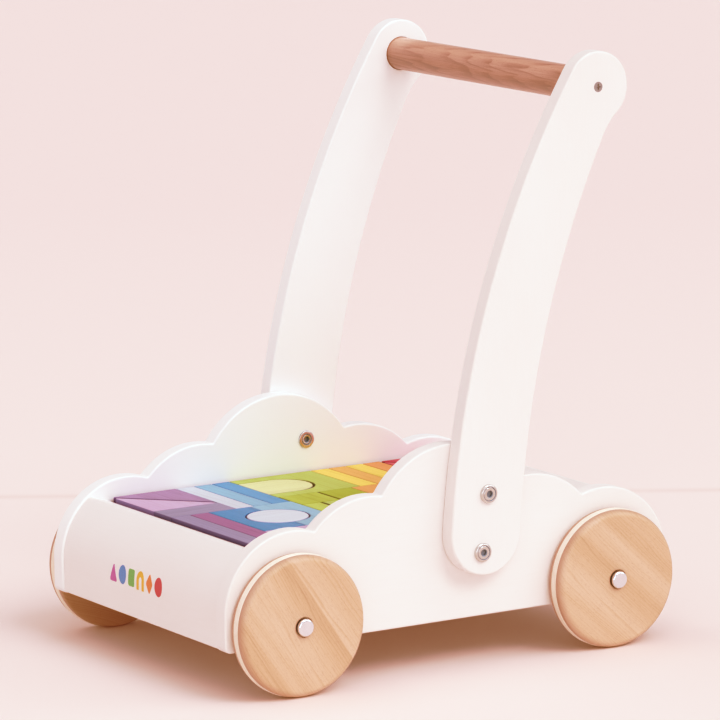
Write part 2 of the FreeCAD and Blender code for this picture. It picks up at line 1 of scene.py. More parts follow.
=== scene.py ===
"""Looks of the wooden baby walker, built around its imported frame."""
import math
import bpy
import bmesh
from mathutils import Matrix, Vector


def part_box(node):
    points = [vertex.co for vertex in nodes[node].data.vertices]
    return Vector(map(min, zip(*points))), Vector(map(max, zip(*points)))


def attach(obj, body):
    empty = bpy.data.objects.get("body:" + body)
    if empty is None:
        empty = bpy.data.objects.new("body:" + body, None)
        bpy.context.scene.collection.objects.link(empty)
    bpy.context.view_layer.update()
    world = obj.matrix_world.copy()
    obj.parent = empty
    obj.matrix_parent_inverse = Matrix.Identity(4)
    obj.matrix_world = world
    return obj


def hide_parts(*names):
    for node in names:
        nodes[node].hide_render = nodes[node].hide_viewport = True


MM = 0.001
X, Y, Z = Vector((1, 0, 0)), Vector((0, 1, 0)), Vector((0, 0, 1))

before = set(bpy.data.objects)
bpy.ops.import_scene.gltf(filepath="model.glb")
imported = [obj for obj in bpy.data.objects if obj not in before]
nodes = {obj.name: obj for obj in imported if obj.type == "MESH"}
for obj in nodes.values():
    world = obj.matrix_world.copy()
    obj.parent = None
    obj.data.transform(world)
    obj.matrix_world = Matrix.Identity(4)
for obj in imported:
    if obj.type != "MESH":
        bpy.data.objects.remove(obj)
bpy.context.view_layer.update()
FRAME_BODY = "walker_frame"


# ---- colour -----------------------------------------------------------------------------

def linear(colour):
    """Scene-linear RGBA from display colour values of 0 to 255."""
    channels = [c / 255 for c in colour]
    return [c / 12.92 if c <= 0.04045 else ((c + 0.055) / 1.055) ** 2.4
            for c in channels] + [1.0]


# What each channel of the picture's display curve makes of scene-linear light.
CURVES = (
    ((0.03, 0.078), (0.10, 0.200), (0.26, 0.372), (0.41, 0.552), (0.63, 0.718), (0.80, 0.845),
     (0.90, 0.905), (1.0, 0.945)),
    ((0.03, 0.024), (0.10, 0.088), (0.26, 0.232), (0.41, 0.385), (0.63, 0.628), (0.80, 0.795),
     (0.90, 0.880), (1.0, 0.955)),
    ((0.03, 0.010), (0.12, 0.056), (0.24, 0.165), (0.41, 0.345), (0.63, 0.628), (0.80, 0.795),
     (0.90, 0.882), (1.0, 0.965)),
)


def shown(colour):
    """Scene-linear RGBA that the display curve shows as display values of 0 to 255."""
    channels = []
    for curve, wanted in zip(CURVES, linear(colour)):
        stops = ((0.0, 0.0),) + curve
        for (x0, y0), (x1, y1) in zip(stops, stops[1:]):
            if wanted <= y1:
                break
        channels.append(min(1.0, x0 + (x1 - x0) * (wanted - y0) / (y1 - y0)))
    return channels + [1.0]


def scaled(colour, factor):
    """Linear colour made lighter or darker."""
    return [min(1.0, c * factor) for c in colour[:3]] + [1.0]


def blended(first, second, share):
    """Linear colour part of the way from first to second."""
    return [a + (b - a) * share for a, b in zip(first, second)]


# ---- node graphs ------------------------------------------------------------------------

class Graph:
    """Node graph of one material, with a short call for each kind of node."""

    def __init__(self, name):
        self.material = bpy.data.materials.new(name)
        self.material.use_nodes = True
        self.tree = self.material.node_tree
        self.tree.nodes.clear()
        self.shader = self.tree.nodes.new("ShaderNodeBsdfPrincipled")
        output = self.tree.nodes.new("ShaderNodeOutputMaterial")
        self.tree.links.new(self.shader.outputs[0], output.inputs["Surface"])

    def plug(self, socket, value):
        """Links a socket, or sets its constant."""
        if isinstance(value, bpy.types.NodeSocket):
            self.tree.links.new(value, socket)
        elif value is not None:
            socket.default_value = value

    def set(self, **values):
        """Sets or links sockets of the shader, by name with _ for a space."""
        for name, value in values.items():
            self.plug(self.shader.inputs[name.replace("_", " ")], value)

    def math(self, operation, first, second=None, third=None, clamp=False):
        """Result of an operation on one to three values."""
        node = self.tree.nodes.new("ShaderNodeMath")
        node.operation = operation
        node.use_clamp = clamp
        for socket, value in zip(node.inputs, (first, second, third)):
            self.plug(socket, value)
        return node.outputs[0]

    def vector(self, operation, first, second=None):
        """Result of an operation on one or two vectors."""
        node = self.tree.nodes.new("ShaderNodeVectorMath")
        node.operation = operation
        self.plug(node.inputs[0], first)
        self.plug(node.inputs[1], second)
        return node.outputs["Value" if operation in ("LENGTH", "DOT_PRODUCT") else "Vector"]

    def place(self, along, across, centre=(0, 0, 0), shift=(0, 0, 0)):
        """Millimetre coordinates whose X runs along and Y across, from centre, plus a shift."""
        turn = Matrix((along.normalized(), across.normalized(),
                       along.cross(across).normalized()))
        node = self.tree.nodes.new("ShaderNodeMapping")
        coordinates = self.tree.nodes.new("ShaderNodeTexCoord")
        self.tree.links.new(coordinates.outputs["Object"], node.inputs["Vector"])
        node.inputs["Rotation"].default_value = turn.to_euler("XYZ")
        node.inputs["Scale"].default_value = (1000, 1000, 1000)
        node.inputs["Location"].default_value = Vector(shift) - turn @ Vector(centre) * 1000
        return node.outputs[0]

    def facing(self, direction):
        """How squarely the surface faces along a direction or against it, from 0 to 1."""
        normal = self.tree.nodes.new("ShaderNodeTexCoord").outputs["Normal"]
        return self.math("ABSOLUTE", self.vector("DOT_PRODUCT", normal, direction))

    def noise(self, at, stretch=(1, 1, 1), detail=2.0, rough=0.5, colour=False):
        """Noise from 0 to 1 with the given cycles per millimetre on each axis."""
        node = self.tree.nodes.new("ShaderNodeTexNoise")
        self.plug(node.inputs["Vector"], self.vector("MULTIPLY", at, stretch))
        self.plug(node.inputs["Scale"], 1.0)
        self.plug(node.inputs["Detail"], detail)
        self.plug(node.inputs["Roughness"], rough)
        return node.outputs["Color" if colour else 0]

    def ramp(self, value, stops):
        """Colour ramp through (position, colour or grey) stops."""
        node = self.tree.nodes.new("ShaderNodeValToRGB")
        elements = node.color_ramp.elements
        while len(elements) < len(stops):
            elements.new(1.0)
        for element, (position, colour) in zip(elements, stops):
            element.position = position
            element.color = (colour, colour, colour, 1) if isinstance(colour, float) else colour
        self.plug(node.inputs[0], value)
        return node.outputs[0]

    def mix(self, share, first, second):
        """Colour part of the way from first to second."""
        node = self.tree.nodes.new("ShaderNodeMix")
        node.data_type = "RGBA"
        self.plug(node.inputs[0], share)
        self.plug(node.inputs[6], first)
        self.plug(node.inputs[7], second)
        return node.outputs[2]

    def mix_values(self, share, first, second):
        """Value part of the way from first to second."""
        node = self.tree.nodes.new("ShaderNodeMix")
        self.plug(node.inputs[0], share)
        self.plug(node.inputs[2], first)
        self.plug(node.inputs[3], second)
        return node.outputs[0]

    def spread(self, value, low, high):
        """Value from 0 to 1 moved to the range from low to high."""
        return self.math("MULTIPLY_ADD", value, high - low, low)

    def bump(self, height, depth, strength=1.0):
        """Surface relief; depth in millimetres for a height of 1."""
        node = self.tree.nodes.new("ShaderNodeBump")
        self.plug(node.inputs["Strength"], strength)
        self.plug(node.inputs["Distance"], depth * MM)
        self.plug(node.inputs["Height"], height)
        self.plug(self.shader.inputs["Normal"], node.outputs[0])


RIPPLE = 1.2                      # fine waviness of the rings in millimetres
RINGS_ASTRAY = 4.5                # how many rings' width the figure is uneven by


def grain(graph, at, ring, taper, wander):
    """Wood figure at grain coordinates in millimetres, X along the grain.

    The pith runs along X through the coordinates' origin. A ring is ring wide, the trunk
    narrows by taper for each millimetre, and wander says how far the rings stray. Returns the
    tone from 0, light, to 1, dark, the share of short dark rays, and a relief height."""
    drift = graph.noise(at, (0.006, 0.03, 0.03), 2.0, 0.5, colour=True)
    drift = graph.vector("SUBTRACT", drift, (0.5, 0.5, 0.5))
    bent = graph.vector("ADD", at, graph.vector("MULTIPLY", drift, (0, wander * 6, wander * 6)))
    ripple = graph.noise(at, (0.02, 0.2, 0.2), 2.0, 0.6, colour=True)
    ripple = graph.vector("SUBTRACT", ripple, (0.5, 0.5, 0.5))
    bent = graph.vector("ADD", bent, graph.vector("MULTIPLY", ripple, (0, RIPPLE, RIPPLE)))
    radius = graph.vector("LENGTH", graph.vector("MULTIPLY", bent, (0, 1, 1)))
    along = graph.vector("DOT_PRODUCT", at, (1, 0, 0))
    uneven = graph.noise(bent, (0.002, 0.07, 0.07), 2.0)
    phase = graph.math("MULTIPLY_ADD", along, taper / ring,
                       graph.math("MULTIPLY", radius, 1 / ring))
    phase = graph.math("MULTIPLY_ADD", uneven, RINGS_ASTRAY, phase)
    late = graph.ramp(graph.math("FRACT", phase),
                      [(0.0, 0.30), (0.12, 0.12), (0.55, 0.30), (0.9, 0.95), (0.97, 1.0),
                       (1.0, 0.30)])
    year = graph.noise(graph.vector("MULTIPLY", bent, (0.1, 1, 1)),
                       (0.01, 0.55 / ring, 0.55 / ring), 1.0)
    year = graph.ramp(year, [(0.30, 0.0), (0.70, 1.0)])
    late = graph.math("MULTIPLY", late, graph.spread(year, 0.10, 1.0))
    bands = graph.noise(bent, (0.003, 0.05, 0.05), 2.0, 0.55)
    bands = graph.ramp(bands, [(0.28, 0.0), (0.72, 1.0)])
    fibre = graph.noise(bent, (0.030, 1.5, 1.5), 3.0, 0.65)
    rays = graph.noise(at, (0.40, 2.6, 2.6), 1.0)
    rays = graph.ramp(rays, [(0.0, 0.0), (0.60, 0.0), (0.72, 1.0)])
    tone = graph.math("MULTIPLY_ADD", late, 0.48, graph.math("MULTIPLY", bands, 0.30))
    tone = graph.math("MULTIPLY_ADD", fibre, 0.50, tone)
    tone = graph.math("SUBTRACT", tone, 0.22, clamp=True)
    relief = graph.math("MULTIPLY_ADD", fibre, 0.6, graph.math("MULTIPLY", late, 0.5))
    relief = graph.math("MULTIPLY_ADD", rays, -0.5, relief)
    return tone, rays, relief


ZONE_REACH = 60.0                 # zones are given this far to both sides of a piece's centre
RIM_SHARE = 0.75                  # how far a wheel's edge takes on the rim tone

# The lights and the display curve leave the blocks' sides and the gaps between them too pale
# and brown. A deep bluish tone on the sides makes up for that. It is shade painted into the
# stain, and it shows as violet when a block is lifted.
SIDE_KEEPS = (0.13, 0.26, 0.60)   # what a block's sides keep of the stain's red, green, blue
SIDE_SHARE = 0.88                 # how far those sides take on the deep tone


def varnished_wood(name, tones, staves, seam=None, zones=None, ring=2.1, taper=0.012,
                   rim_tone=None, coat=0.28, wander=3.2):
    """Clear-varnished wood of one or two glued staves.

    tones are the light, middle and dark colours and the colour of the rays. A stave is its
    along and across directions, the centre and the pith's place from it. The seam is its
    distance across from the centre in millimetres, and zones are (distance, darkness) stops
    across the piece. Surfaces that don't face along X take on some of the rim tone."""
    graph = Graph(name)
    light, middle, dark, ray = tones
    flat = graph.place(*staves[0][:3])
    wave = graph.noise(flat, (0.02, 0.05, 0.0), 1.0)
    across_mm = graph.math("ADD", graph.vector("DOT_PRODUCT", flat, (0, 1, 0)),
                           graph.spread(wave, -0.9, 0.9))
    layers = []
    for along, across, centre, pith in staves:
        tone, rays, relief = grain(graph, graph.place(along, across, centre, pith), ring, taper,
                                   wander)
        layers.append((tone, rays, relief))
    tone, rays, relief = layers[0]
    if seam is not None:
        past = graph.math("MULTIPLY_ADD", graph.math("SUBTRACT", across_mm, seam), 1.6, 0.5,
                          clamp=True)
        tone, rays, relief = (graph.mix_values(past, first, second)
                              for first, second in zip(*layers))
    if zones:
        place = graph.math("MULTIPLY_ADD", across_mm, 1 / (2 * ZONE_REACH), 0.5, clamp=True)
        zone = graph.ramp(place, [((at + ZONE_REACH) / (2 * ZONE_REACH), shade)
                                  for at, shade in zones])
        tone = graph.math("ADD", graph.math("MULTIPLY", tone, 0.75),
                          graph.spread(zone, -0.10, 0.38), clamp=True)
    colour = graph.ramp(tone, [(0.0, light), (0.42, middle), (1.0, dark)])
    colour = graph.mix(graph.math("MULTIPLY", rays, 0.34), colour, ray)
    if rim_tone:
        rim = graph.math("MULTIPLY_ADD", graph.facing(X), -RIM_SHARE, RIM_SHARE, clamp=True)
        colour = graph.mix(rim, colour, rim_tone)
    cloud = graph.noise(graph.place(X, Y), (0.02, 0.02, 0.02), 3.0)
    graph.set(Base_Color=colour, Roughness=graph.spread(cloud, 0.34, 0.48),
              Specular_IOR_Level=0.42, Coat_Weight=coat, Coat_Roughness=0.24)
    graph.bump(relief, 0.05, 0.5)
    return graph.material


def stained_wood_with_side_shade(name, colour, along, seed):
    """Thin coloured stain on a small block, with the wood's figure showing through.

    The seed chooses the place in the tree that the block is cut from. The sides take on a
    deeper tone than the top, which is painted shade."""
    graph = Graph(name)
    across = Y if along is X else X
    shift = (seed * 37.0 % 90, 40 + seed * 23.0 % 60, 24 + seed * 11.0 % 30)
    tone, rays, relief = grain(graph, graph.place(along, across, shift=shift), ring=2.6,
                               taper=0.01, wander=1.2)
    light, dark = blended(scaled(colour, 1.10), [1, 1, 1, 1], 0.010), scaled(colour, 0.74)
    shade = graph.ramp(tone, [(0.0, light), (0.45, colour), (1.0, dark)])
    shade = graph.mix(graph.math("MULTIPLY", rays, 0.35), shade, scaled(colour, 0.60))
    # Painted shade: the sides take on a deep bluish tone, darker than the top.
    side = graph.math("MULTIPLY_ADD", graph.facing(Z), -1.5, 1.42, clamp=True)
    painted_side_shade = [c * kept for c, kept in zip(colour, SIDE_KEEPS)] + [1.0]
    shade = graph.mix(graph.math("MULTIPLY", side, SIDE_SHARE), shade, painted_side_shade)
    graph.set(Base_Color=shade, Roughness=graph.spread(tone, 0.46, 0.62),
              Specular_IOR_Level=0.22, Coat_Weight=0.04, Coat_Roughness=0.35)
    graph.bump(relief, 0.06, 0.55)
    return graph.material


def white_paint(name, along, across, dull, bright):
    """Satin white paint over smooth board: faint mottling, brush-fine relief."""
    graph = Graph(name)
    at = graph.place(along, across)
    cloud = graph.noise(at, (0.008, 0.012, 0.012), 3.0)
    fine = graph.noise(at, (0.05, 0.8, 0.8), 3.0, 0.6)
    peel = graph.noise(at, (0.9, 0.9, 0.9), 2.0)
    tone = graph.math("MULTIPLY_ADD", fine, 0.30, graph.math("MULTIPLY", cloud, 0.70))
    colour = graph.ramp(tone, [(0.25, linear(dull)), (0.75, linear(bright))])
    graph.set(Base_Color=colour, Roughness=graph.spread(cloud, 0.36, 0.50),
              Specular_IOR_Level=0.40, Coat_Weight=0.06, Coat_Roughness=0.30)
    graph.bump(graph.math("MULTIPLY_ADD", peel, 0.6, graph.math("MULTIPLY", fine, 0.4)),
               0.010, 0.4)
    return graph.material


def rubber():
    """Cream rubber: matt, with a faint speckle."""
    graph = Graph("rubber_cream")
    at = graph.place(X, Y)
    speckle = graph.noise(at, (1.8, 1.8, 1.8), 2.0)
    cloud = graph.noise(at, (0.04, 0.04, 0.04), 2.0)
    colour = graph.ramp(graph.math("MULTIPLY_ADD", speckle, 0.5,
                                   graph.math("MULTIPLY", cloud, 0.5)),
                        [(0.3, shown((240, 226, 212))), (0.7, shown((248, 238, 227)))])
    graph.set(Base_Color=colour, Roughness=graph.spread(speckle, 0.62, 0.78),
              Specular_IOR_Level=0.3, Sheen_Weight=0.1)
    graph.bump(speckle, 0.05, 0.4)
    return graph.material


DRAWN_LINES = (0.15, 2.5, 2.5)    # scratches along X, in cycles per millimetre
FINE_SPECKS = (1.2, 1.2, 1.2)


def metal(name, colour, rough, scratch):
    """Metal with fine scratches and a slightly uneven polish."""
    graph = Graph(name)
    at = graph.place(X, Y)
    lines = graph.noise(at, scratch, 3.0, 0.7)
    cloud = graph.noise(at, (0.25, 0.25, 0.25), 2.0)
    share = graph.math("MULTIPLY_ADD", lines, 0.5, graph.math("MULTIPLY", cloud, 0.5))
    graph.set(Base_Color=graph.ramp(share, [(0.2, scaled(colour, 0.86)), (0.8, colour)]),
              Metallic=1.0, Roughness=graph.spread(share, rough * 0.7, rough * 1.4))
    graph.bump(lines, 0.004, 0.5)
    return graph.material


def printed(name, colour):
    """Thin screen-printed ink with a slightly uneven film."""
    graph = Graph(name)
    at = graph.place(X, Y)
    speckle = graph.noise(at, (1.4, 1.4, 1.4), 3.0)
    graph.set(Base_Color=graph.ramp(speckle, [(0.3, scaled(colour, 0.88)),
                                              (0.7, scaled(colour, 1.06))]),
              Roughness=graph.spread(speckle, 0.40, 0.55), Specular_IOR_Level=0.4)
    graph.bump(speckle, 0.02, 0.4)
    return graph.material


def dress(node, material):
    """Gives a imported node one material."""
    slots = nodes[node].data.materials
    slots.clear()
    slots.append(material)


def new_piece(name, mesh, body, materials, replaces=()):
    """Object of its own that rides on a body."""
    piece = bpy.data.objects.new(name, mesh)
    bpy.context.scene.collection.objects.link(piece)
    for material in materials:
        mesh.materials.append(material)
    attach(piece, body)
    if replaces:
        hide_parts(*replaces)


SHARP_DEG = 38                    # edges that turn more than this stay sharp


def finished_mesh(name, shape):
    """Mesh of a finished bmesh, smooth except at its sharp edges."""
    bmesh.ops.recalc_face_normals(shape, faces=shape.faces)
    mesh = bpy.data.meshes.new(name)
    shape.to_mesh(mesh)
    shape.free()
    mesh.shade_smooth()
    mesh.set_sharp_from_angle(angle=math.radians(SHARP_DEG))
    return mesh


# ---- painted frame ----------------------------------------------------------------------

# The paint is meant to be one white. The left panel and arm get a brighter, cooler one, which
# makes up for the weaker light and the blocks' coloured reflections on them.
WARM_WHITE = ((239, 235, 232), (243, 241, 239))
COOL_WHITE = ((246, 247, 247), (250, 251, 251))
for node, along, across, white in (
        ("side_panel_right", Y, Z, WARM_WHITE), ("side_panel_left", Y, Z, COOL_WHITE),
        ("front_board", X, Z, WARM_WHITE), ("rear_board", X, Z, WARM_WHITE),
        ("base_board", Y, X, WARM_WHITE), ("handle_arm_right", Z, Y, WARM_WHITE),
        ("handle_arm_left", Z, Y, COOL_WHITE)):
    dress(node, white_paint("white_paint_" + node, along, across, *white))

# ---- wheels -----------------------------------------------------------------------------

WHEEL_TONES = (shown((228, 192, 164)), shown((218, 172, 134)), shown((192, 134, 88)),
               shown((176, 114, 76)))
RIM_TONE = shown((192, 132, 108))
# The lights leave the inner side of the front left wheel too pale. A redder, darker tint and
# the darker zones below make up for that, and they show on its outer side too. The wood is
# meant to be the same on all four wheels.
SHADE_TINT = shown((150, 82, 58))
SHADE_TINT_SHARE = {"front_left": 0.30}
WHEEL_GRAIN = {                   # each stave's grain angle, the seam, zones across the grain
    "front_right": ((-56.0, -52.0), 19.0, ((-60, 0.75), (-40, 0.70), (-35, 0.15), (-24, 0.10),
                                           (-5, 0.25), (9, 0.45), (18.4, 0.85), (19.4, 0.05),
                                           (32, 0.12), (50, 0.40))),
    "rear_right": ((-42.0,), None, ((-60, 0.30), (-34, 0.15), (-20, 0.10), (-8, 0.45),
                                    (4, 0.55), (15, 0.05), (22, 0.0), (30, 0.50), (46, 0.35))),
    "front_left": ((-20.0, -28.0), 9.0, ((-60, 1.0), (-20, 0.90), (8, 1.0), (10, 0.80),
                                         (50, 1.0))),
    "rear_left": ((62.0,), None, ((-60, 0.40), (-25, 0.10), (0, 0.40), (25, 0.15),
                                  (50, 0.50))),
}
cream_rubber = rubber()
for index, (place, (angles, seam, zones)) in enumerate(WHEEL_GRAIN.items()):
    low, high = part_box("wheel_" + place)
    centre = (low + high) / 2
    staves = []
    for number, angle in enumerate(angles):
        along = Vector((0, math.cos(math.radians(angle)), math.sin(math.radians(angle))))
        pith = (31.0 * index + 50 * number, 118.0 - 24 * number + 9 * index, 46.0 + 20 * number)
        staves.append((along, X.cross(along), centre, pith))
    tint = SHADE_TINT_SHARE.get(place, 0.0)
    tones = [blended(tone, SHADE_TINT, tint) for tone in WHEEL_TONES]
    dress("wheel_" + place, varnished_wood("beech_" + place, tones, staves, seam, zones,
                                           rim_tone=RIM_TONE))
    dress("rubber_ring_" + place, cream_rubber)

# ---- handle bar and pegs ----------------------------------------------------------------

BAR_TONES = (shown((222, 170, 142)), shown((174, 108, 78)), shown((140, 80, 58)),
             shown((120, 64, 46)))
bar_low, bar_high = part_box("handle_bar")
# The bar's zones make its top lighter and its middle and bottom darker: painted highlight and
# painted shade.
dress("handle_bar", varnished_wood("beech_bar", BAR_TONES,
                                   [(X, Z, (bar_low + bar_high) / 2, (0, 6.0, 15.0))],
                                   zones=((-13, 0.55), (-5, 0.75), (3, 0.60), (10, 0.0)),
                                   ring=2.6, taper=0.06, coat=0.60, wander=1.6))
dress("joining_pegs", varnished_wood("beech_peg", WHEEL_TONES, [(X, Y, Vector(), (0, 30, 30))]))

# ---- metal ------------------------------------------------------------------------------

polished = metal("polished_steel", linear((238, 240, 244)), 0.12, FINE_SPECKS)
satin = metal("bolt_steel", linear((214, 215, 212)), 0.20, FINE_SPECKS)
# Darker, duller steel whose colour is painted shade in grooves, sockets and round the caps' feet.
painted_shade_steel = metal("steel_with_painted_shade", shown((138, 138, 148)), 0.42, FINE_SPECKS)
drawn = metal("axle_steel", linear((200, 200, 202)), 0.28, DRAWN_LINES)
zinc = metal("zinc_dark", linear((160, 166, 170)), 0.34, (1.5, 1.5, 1.5))
for node, material in (("handle_screws", zinc), ("front_axle", drawn), ("rear_axle", drawn),
                       ("front_washers", drawn), ("rear_washers", drawn)):
    dress(node, material)


FASTENER_REACH = 17 * MM          # more than a fastener's width, less than the way to the next


def clusters(node):
    """Boxes of a node's separate fasteners, told apart by their places in the YZ plane."""
    found = []
    for vertex in nodes[node].data.vertices:
        point = vertex.co
        for seed, members in found:
            if seed.x * point.x > 0 and (seed.yz - point.yz).length < FASTENER_REACH:
                members.append(point)
                break
        else:
            found.append((point, [point]))
    return [tuple(Vector([pick(p[axis] for p in members) for axis in range(3)])
                  for pick in (min, max)) for _, members in found]


def arc_rings(x_foot, radius, bend, steps=6):
    """Rings of a quarter-round shoulder that ends bend further out and bend further in."""
    return [(x_foot + bend * math.sin(turn), radius - bend + bend * math.cos(turn), "round")
            for turn in (math.radians(90 * step / steps) for step in range(steps + 1))]


def ring_radius(radius, kind, turn):
    """Distance from the axis of a ring at an angle."""
    if kind != "hex":
        return radius
    within = (turn + math.pi / 6) % (math.pi / 3) - math.pi / 6
    return radius * math.cos(math.pi / 6) / math.cos(math.pi / 6 - abs(within))


def turned_piece(name, node, rings_for, outwards, shine, body=FRAME_BODY, segments=96):
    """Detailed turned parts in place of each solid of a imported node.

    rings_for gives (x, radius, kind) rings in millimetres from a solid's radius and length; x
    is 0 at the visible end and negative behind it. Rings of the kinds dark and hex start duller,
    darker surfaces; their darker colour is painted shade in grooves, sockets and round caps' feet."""
    shape = bmesh.new()
    for low, high in clusters(node):
        side = math.copysign(1, low.x)
        centre = (low + high) / 2
        tip = max(abs(low.x), abs(high.x)) if outwards else min(abs(low.x), abs(high.x))
        facing = side if outwards else -side
        rings = rings_for((high.z - low.z) / MM / 2, (high.x - low.x) / MM)
        loops = []
        for x, radius, kind in rings:
            place = side * tip + facing * x * MM
            if radius == 0:
                loops.append([shape.verts.new((place, centre.y, centre.z))])
                continue
            loops.append([shape.verts.new((
                place,
                centre.y + ring_radius(radius, kind, turn) * MM * math.cos(turn),
                centre.z + ring_radius(radius, kind, turn) * MM * math.sin(turn)))
                for turn in (2 * math.pi * step / segments for step in range(segments))])
        for first, second, (_, _, kind) in zip(loops, loops[1:], rings):
            for step in range(segments):
                after = (step + 1) % segments
                corners = [first[step % len(first)], first[after % len(first)],
                           second[after % len(second)], second[step % len(second)]]
                face = shape.faces.new(list(dict.fromkeys(corners)))
                face.material_index = int(kind != "round")
    new_piece(name, finished_mesh(name, shape), body, [shine, painted_shade_steel], [node])


def bolt_rings(head_r, length):
    """Low round head with a turned groove and a chamfered hexagon socket."""
    # The dark and hex rings paint shade into the head's groove and its socket.
    return ([(-length, 0, "round"), (-length, 2.6, "round"), (-length + 0.4, 3.0, "round"),
             (-2.6, 3.0, "round"), (-2.6, head_r, "round")]
            + arc_rings(-1.3, head_r, 1.3)
            + [(0, 5.7, "dark"), (-0.16, 5.5, "dark"), (-0.16, 5.1, "round"), (0, 4.9, "round"),
               (0, 2.9, "dark"), (-0.34, 2.4, "hex"), (-1.7, 2.1, "hex"), (-1.8, 1.4, "dark"),
               (-2.1, 0, "dark")])


def nut_rings(flange_r, length):
    """Flanged sleeve nut with a shallow ring round its hexagon socket."""
    # The dark and hex rings paint shade on the flange's edge, in the groove and in the socket.
    return ([(-length, 0, "round"), (-length, 4.5, "round"), (-1.2, 4.5, "round"),
             (-1.2, flange_r, "dark")]
            + arc_rings(-0.6, flange_r, 0.6)
            + [(0, 4.7, "dark"), (-0.28, 4.4, "dark"), (-0.28, 3.8, "round"),
               (-0.06, 3.6, "round"), (-0.06, 2.8, "dark"), (-0.4, 2.4, "hex"),
               (-2.2, 2.1, "hex"), (-2.4, 0, "dark")])


def cap_rings(cap_r, length):
    """Pressed cap: straight rim, round shoulder and a slightly crowned top."""
    # The dark rings paint the shade of the hub's recess on the cap's foot and wall.
    return ([(-length, 0, "dark"), (-length, cap_r - 0.3, "dark"),
             (-length + 0.3, cap_r, "dark"), (-2.2, cap_r, "round")]
            + arc_rings(-1.9, cap_r, 1.8, 9)
            + [(-0.07, 4.4, "round"), (-0.04, 3.2, "round"), (-0.01, 1.6, "round"),
               (0, 0, "round")])


turned_piece("bolt_heads", "arm_bolts", bolt_rings, True, satin)
turned_piece("sleeve_nut_faces", "sleeve_nuts", nut_rings, False, satin)
for end in ("front", "rear"):
    turned_piece(end + "_caps", end + "_hub_caps", cap_rings, True, polished,
                 end + "_axle_set")

# ---- building blocks --------------------------------------------------------------------

STAINS = {
    "triangle_plum": (164, 118, 152), "triangle_lilac": (210, 170, 200),
    "small_plank_heather": (160, 136, 162), "small_plank_red": (226, 44, 50),
    "gate_lime": (188, 192, 84), "gate_filler_pale_green": (224, 216, 156),
    "plank_lavender": (210, 205, 216), "plank_sky": (138, 172, 198),
    "plank_blue": (26, 142, 186), "plank_yellow_a": (244, 211, 94),
    "plank_orange_a": (234, 170, 84), "plank_yellow_b": (244, 211, 94),
    "plank_orange_b": (232, 148, 78), "long_plank_heather": (156, 130, 158),
    "long_plank_plum": (164, 96, 138), "long_plank_lime": (190, 194, 74),
    "long_plank_green": (184, 190, 82), "arch_blue": (16, 132, 178),
    "arch_sky": (146, 178, 200), "arch_orange": (234, 160, 84),
    "arch_yellow": (240, 202, 90), "disc_lavender": (216, 214, 224),
    "disc_red": (226, 44, 50), "brick_lilac": (202, 164, 194),
    "brick_olive": (172, 174, 46), "brick_green": (184, 190, 82),
    "brick_yellow": (238, 198, 84), "brick_crimson": (204, 52, 76),
    "square_lime": (178, 180, 56), "wide_plank_crimson": (204, 52, 76),
    "wide_plank_red": (226, 44, 50), "triangle_crimson": (206, 50, 74),
    "triangle_rose": (216, 78, 92),
}
for index, (block, stain) in enumerate(STAINS.items()):
    low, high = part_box("block_" + block)
    size = high - low
    along = X if size.x >= size.y else Y
    dress("block_" + block, stained_wood_with_side_shade("stain_and_shade_" + block, shown(stain), along, index + 1))


# ---- printed row of shapes on the front board -------------------------------------------

def shape_outline(kind):
    """Outline of a small plain shape one unit wide and high, about its middle."""
    turns = [math.radians(7.5 * step) for step in range(48)]
    if kind == "round":
        return [(0.5 * math.cos(turn), 0.5 * math.sin(turn)) for turn in turns]
    if kind == "arch":
        legs = [(0.5 * math.cos(turn), 0.5 * math.sin(turn)) for turn in turns[:25]]
        outer = [(0.5, -0.5)] + legs + [(-0.5, -0.5)]
        inner = [(-0.2, -0.5)] + [(0.4 * x, 0.4 * z) for x, z in reversed(legs)] + [(0.2, -0.5)]
        return outer + inner
    corners = {"triangle": [(-0.5, -0.5), (0.5, -0.5), (0, 0.5)],
               "square": [(-0.42, -0.45), (0.42, -0.45), (0.42, 0.45), (-0.42, 0.45)],
               "diamond": [(0, -0.55), (0.45, 0), (0, 0.55), (-0.45, 0)]}[kind]
    points = []
    for index, corner in enumerate(corners):
        start, stop = ([c + 0.2 * (o - c) for o, c in zip(other, corner)]
                       for other in (corners[index - 1], corners[(index + 1) % len(corners)]))
        for share in (step / 6 for step in range(7)):
            points.append(tuple((1 - share) ** 2 * a + 2 * share * (1 - share) * c + share ** 2 * b
                                for a, c, b in zip(start, corner, stop)))
    return points


def printed_shape(name, kind, across, material):
    """Thin film of ink that follows the front board's outer face."""
    board = nodes["front_board"]
    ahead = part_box("front_board")[0].y - 50 * MM
    shape = bmesh.new()
    shape.faces.new([shape.verts.new(((across + x * PRINT_W) * MM, ahead,
                                      (PRINT_Z + z * PRINT_H) * MM))
                     for x, z in shape_outline(kind)])
    bmesh.ops.triangulate(shape, faces=shape.faces)
    bmesh.ops.subdivide_edges(shape, edges=shape.edges, cuts=5, use_grid_fill=True)
    for vertex in shape.verts:
        _, place, normal, _ = board.ray_cast(vertex.co, Y)
        vertex.co = place + normal * PRINT_T * MM
    rim = bmesh.ops.extrude_edge_only(shape, edges=[edge for edge in shape.edges
                                                    if edge.is_boundary])
    for vertex in rim["geom"]:
        if isinstance(vertex, bmesh.types.BMVert):
            vertex.co += Y * 2 * PRINT_T * MM
    new_piece(name, finished_mesh(name, shape), FRAME_BODY, [material])


